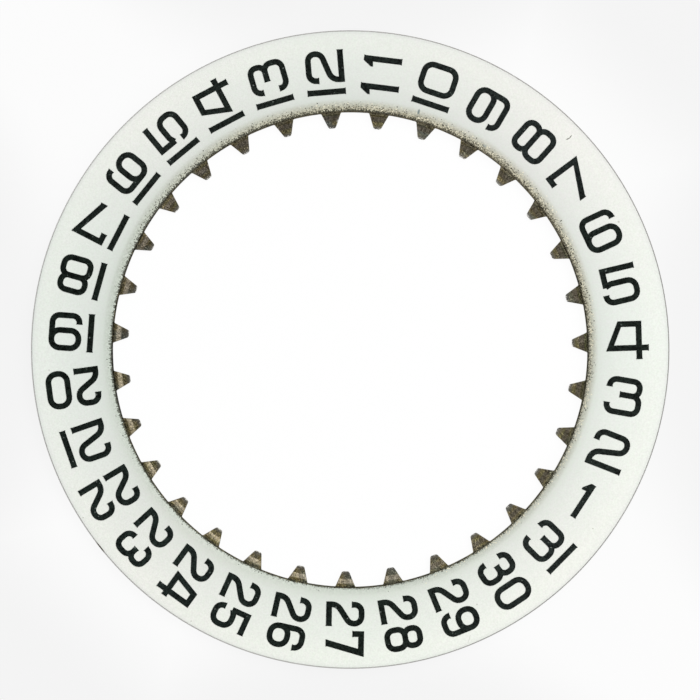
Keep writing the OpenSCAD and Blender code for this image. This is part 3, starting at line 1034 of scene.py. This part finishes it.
def make_toothed_blank():
    """The blank with its ring of teeth."""
    side = with_crossings(tooth_side())
    mirrored = [(Vector((p.x, -p.y)), Vector((n.x, -n.y))) for p, n in reversed(side[1:])]
    rim = rim_section()
    cuts = [radial_cut(entry, rim) for entry in mirrored + side]
    piece = piece_from("toothed_blank", *joined_loops(cuts, closed=False))
    values = {"Count": teeth, "Weld Distance": weld_gap * MM, "Finish": nickel}
    return run_tree(piece, repeat_tree(), values)


# Lacquer film: thin and ragged where it is rubbed on the shoulder

film_columns = 60 * teeth
# Ragged inner edge: how far it wanders, the size, weight and seed of its waves, and its least gap at
# the wall
film_rag = 0.022
rag_waves = ((0.14, 0.6, 3.0), (0.05, 0.6, 9.0))
wall_gap = 0.003
# Worn strip along it: its width and its thickness
film_rub_w = 0.05
film_worn_t = 0.004
# Grains of relief on the shoulder: their size, their height, and where they fade out about its end
film_grain = 0.055
film_relief = 0.0035
relief_fade = (-0.12, 0.02)
# Radii of the rows across the flat part
flat_rows = (9.1, 9.9, 10.7)


def film_noise(place, size, seed):
    """Noise between about -1 and 1 at a place in millimetres, with patches of a given size."""
    return noise.noise(Vector(place) / size + Vector((seed, 0.0, 0.0)))


def film_cut(angle):
    """A closed loop through the film at one angle about the axis."""
    out = toward(angle)
    rag_place = (out.x * film_in_r, out.y * film_in_r, 0.0)
    rag = sum(weight * film_noise(rag_place, size, seed) for size, weight, seed in rag_waves)
    inner = max(film_in_r + film_rag * rag, wall_r + wall_gap)
    top_rows = [*spread(inner, shoulder_r, 12), *flat_rows, film_out_r - 2 * film_round]
    loop = []
    for r in top_rows:
        thick = film_worn_t + (film_t - film_worn_t) * smooth(r, inner, inner + film_rub_w)
        rough = film_relief * (1 - smooth(r - shoulder_r, *relief_fade))
        bump = film_noise((out.x * r, out.y * r, 0.0), film_grain, seed=5.0)
        lift = min(thick + rough * bump, film_t)
        loop.append((r, shoulder_z(r) + max(lift, 0.5 * film_worn_t)))
    for a in spread(0, math.pi / 2, 2):
        r = film_out_r - film_round * (1 - math.sin(a))
        loop.append((r, film_z - film_round * (1 - math.cos(a))))
    loop += [(r, shoulder_z(r)) for r in (film_out_r, *reversed(spread(inner, shoulder_r, 5)))]
    return [(out.x * r, out.y * r, z) for r, z in loop]


def make_lacquer_film():
    """The film, one cut beside the other right round."""
    cuts = [film_cut(angle) for angle in spread(0, math.tau, film_columns)[:-1]]
    piece = piece_from("lacquer_film", *joined_loops(cuts, closed=True))
    piece.data.materials.append(lacquer)
    return piece


toothed_blank = make_toothed_blank()
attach(toothed_blank, "root")
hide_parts("toothed_ring")

lacquer_film = make_lacquer_film()
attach(lacquer_film, "root")
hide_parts("lacquer_coat")

for name, date in frame["nodes"].items():
    if name.startswith("date_"):
        for slot in date.material_slots:
            slot.material = ink


# Floor and wall of white paper

floor_r = 1200.0
floor_drop = 0.01
wall_h = 420.0
wall_segments = 96
# The photograph's frame is turned by this much against the disc
camera_turn = math.radians(1.727)
# Where the painted pool of light on the paper fades: beside the diagonals, as the product of both distances
# from them, in two of the corners, as the distance from one, and far out, in radii of the disc
beside_fade = (25.0, 76.0)
corner_fade = (11.0, 15.5)
far_fade = (1.5, 2.4)
# The painted white inside the disc ends out of sight under its band, this far in from the rim
under_fade = (1.5, 0.5)
# Share of that white in what the camera sees of the sheet. The rest is the lit paper with its shadow
glow_share = 0.955


def painted_light_on_paper(finish):
    """Painted light on the paper: white inside the disc and along one of the diagonals, and a pale grey
    beside that and further away.
    """
    tree = finish.tree
    diagonals = []
    for angle in (math.radians(45) - camera_turn, math.radians(135) - camera_turn):
        ends = {0: finish.place, 1: (math.cos(angle) / MM, math.sin(angle) / MM, 0.0)}
        along = add_node(tree, "ShaderNodeVectorMath", ends, operation="DOT_PRODUCT")
        diagonals.append(maths(tree, "ABSOLUTE", along.outputs["Value"]))
    beside = soft_step(tree, product(tree, *diagonals), *beside_fade)
    corners = soft_step(tree, diagonals[0], *corner_fade)
    far = soft_step(tree, finish.radius, far_fade[0] * disc_r, far_fade[1] * disc_r)
    fade = maths(tree, "MAXIMUM", maths(tree, "MAXIMUM", beside, corners), far)
    outside = soft_step(tree, finish.radius, disc_r - under_fade[0], disc_r - under_fade[1])
    white = blend_colour(tree, outside, (1, 1, 1, 1), shade(252, 252, 252))
    # Painted pool of light: white near the disc, pale grey beyond
    return blend_colour(tree, product(tree, fade, outside), white, shade(244, 244, 244))


def make_paper():
    """White paper. The camera and reflections see it as a lit white sheet, which keeps a faint shadow."""
    finish = Finish("white paper")
    tree = finish.tree
    cloud = finish.mottled(size=4.0, contrast=0.6, shift=6.0)
    look = {
        "Base Color": blend_colour(tree, cloud, shade(244, 244, 244), shade(249, 249, 249)),
        "Roughness": 0.9,
        "Specular IOR Level": 0.1,
    }
    finish.surface(look)
    glow = add_node(tree, "ShaderNodeEmission", {"Color": painted_light_on_paper(finish), "Strength": 1.0})
    path = tree.nodes.new("ShaderNodeLightPath").outputs
    direct = maths(tree, "ADD", path["Is Camera Ray"], path["Is Glossy Ray"], clamp=True)
    seen = maths(tree, "ADD", direct, path["Is Transmission Ray"], clamp=True)
    mixed = {0: product(tree, seen, glow_share), 1: finish.shader.outputs[0], 2: glow.outputs[0]}
    lit = add_node(tree, "ShaderNodeMixShader", mixed)
    # From below the sheet lets the view through, so that the underside can be looked at
    clear = tree.nodes.new("ShaderNodeBsdfTransparent").outputs[0]
    below = tree.nodes.new("ShaderNodeNewGeometry").outputs["Backfacing"]
    both = add_node(tree, "ShaderNodeMixShader", {0: below, 1: lit.outputs[0], 2: clear})
    tree.links.new(both.outputs[0], tree.nodes["Material Output"].inputs["Surface"])
    return finish.material


def make_stage():
    """A round sheet with its edge turned up as a wall, so that no view sees past it."""
    ring = [toward(a) * floor_r for a in spread(0, math.tau, wall_segments)[:-1]]
    points = [(0.0, 0.0, -floor_drop)]
    points += [(p.x, p.y, -floor_drop) for p in ring]
    points += [(p.x, p.y, wall_h) for p in ring]
    faces = []
    for k in range(wall_segments):
        this = 1 + k
        following = 1 + (k + 1) % wall_segments
        faces.append((0, this, following))
        faces.append((this, this + wall_segments, following + wall_segments, following))
    sheet = mesh_object("paper_sheet", points, faces)
    sheet.data.materials.append(make_paper())


make_stage()


# Light: a large soft panel up on the right, a small one beside the disc, and a dim grey room

room_grey = 0.34
# Each panel: bearing and height in degrees, distance and size in millimetres, power in watts
panels = {
    "window_panel": (46.0, 50.0, 320.0, 270.0, 0.82),
    "side_panel": (-22.0, 34.0, 150.0, 90.0, 0.095),
}


def make_panel(name, bearing, height, distance, size, power):
    """A soft square light that faces the disc."""
    data = bpy.data.lights.new(name, "AREA")
    data.shape = "SQUARE"
    data.size = size * MM
    data.energy = power
    panel = bpy.data.objects.new(name, data)
    flat = toward(math.radians(bearing)) * math.cos(math.radians(height))
    direction = Vector((flat.x, flat.y, math.sin(math.radians(height))))
    panel.location = direction * distance * MM
    panel.rotation_mode = "QUATERNION"
    panel.rotation_quaternion = (-direction).to_track_quat("-Z", "Y")
    panel.visible_camera = False
    bpy.context.scene.collection.objects.link(panel)


def make_room():
    """Dim grey surroundings."""
    world = bpy.data.worlds.new("studio")
    world.use_nodes = True
    world.node_tree.nodes["Background"].inputs["Color"].default_value = (room_grey, room_grey, room_grey, 1)
    bpy.context.scene.world = world


for panel_name, settings in panels.items():
    make_panel(panel_name, *settings)
make_room()


# Camera: straight above the disc, as in the photograph

# Width of the picture at the face of the disc, and the offsets of the picture's middle from the axis
frame_w = 24.992
offset_right = -0.0057
offset_up = -0.0154
# A long lens on a full-frame sensor
lens = 300.0
sensor = 36.0


def make_camera():
    """The camera, turned with the photograph's frame."""
    data = bpy.data.cameras.new("camera")
    data.lens = lens
    data.sensor_width = sensor
    data.clip_start = 0.001
    data.clip_end = 10.0
    camera = bpy.data.objects.new("camera", data)
    right = toward(-camera_turn)
    up = toward(math.pi / 2 - camera_turn)
    spot = right * offset_right + up * offset_up
    height = film_z + frame_w * lens / sensor
    camera.location = Vector((spot.x, spot.y, height)) * MM
    camera.rotation_euler = (0.0, 0.0, -camera_turn)
    bpy.context.scene.collection.objects.link(camera)
    bpy.context.scene.camera = camera


make_camera()
bpy.context.scene.view_settings.view_transform = "Standard"
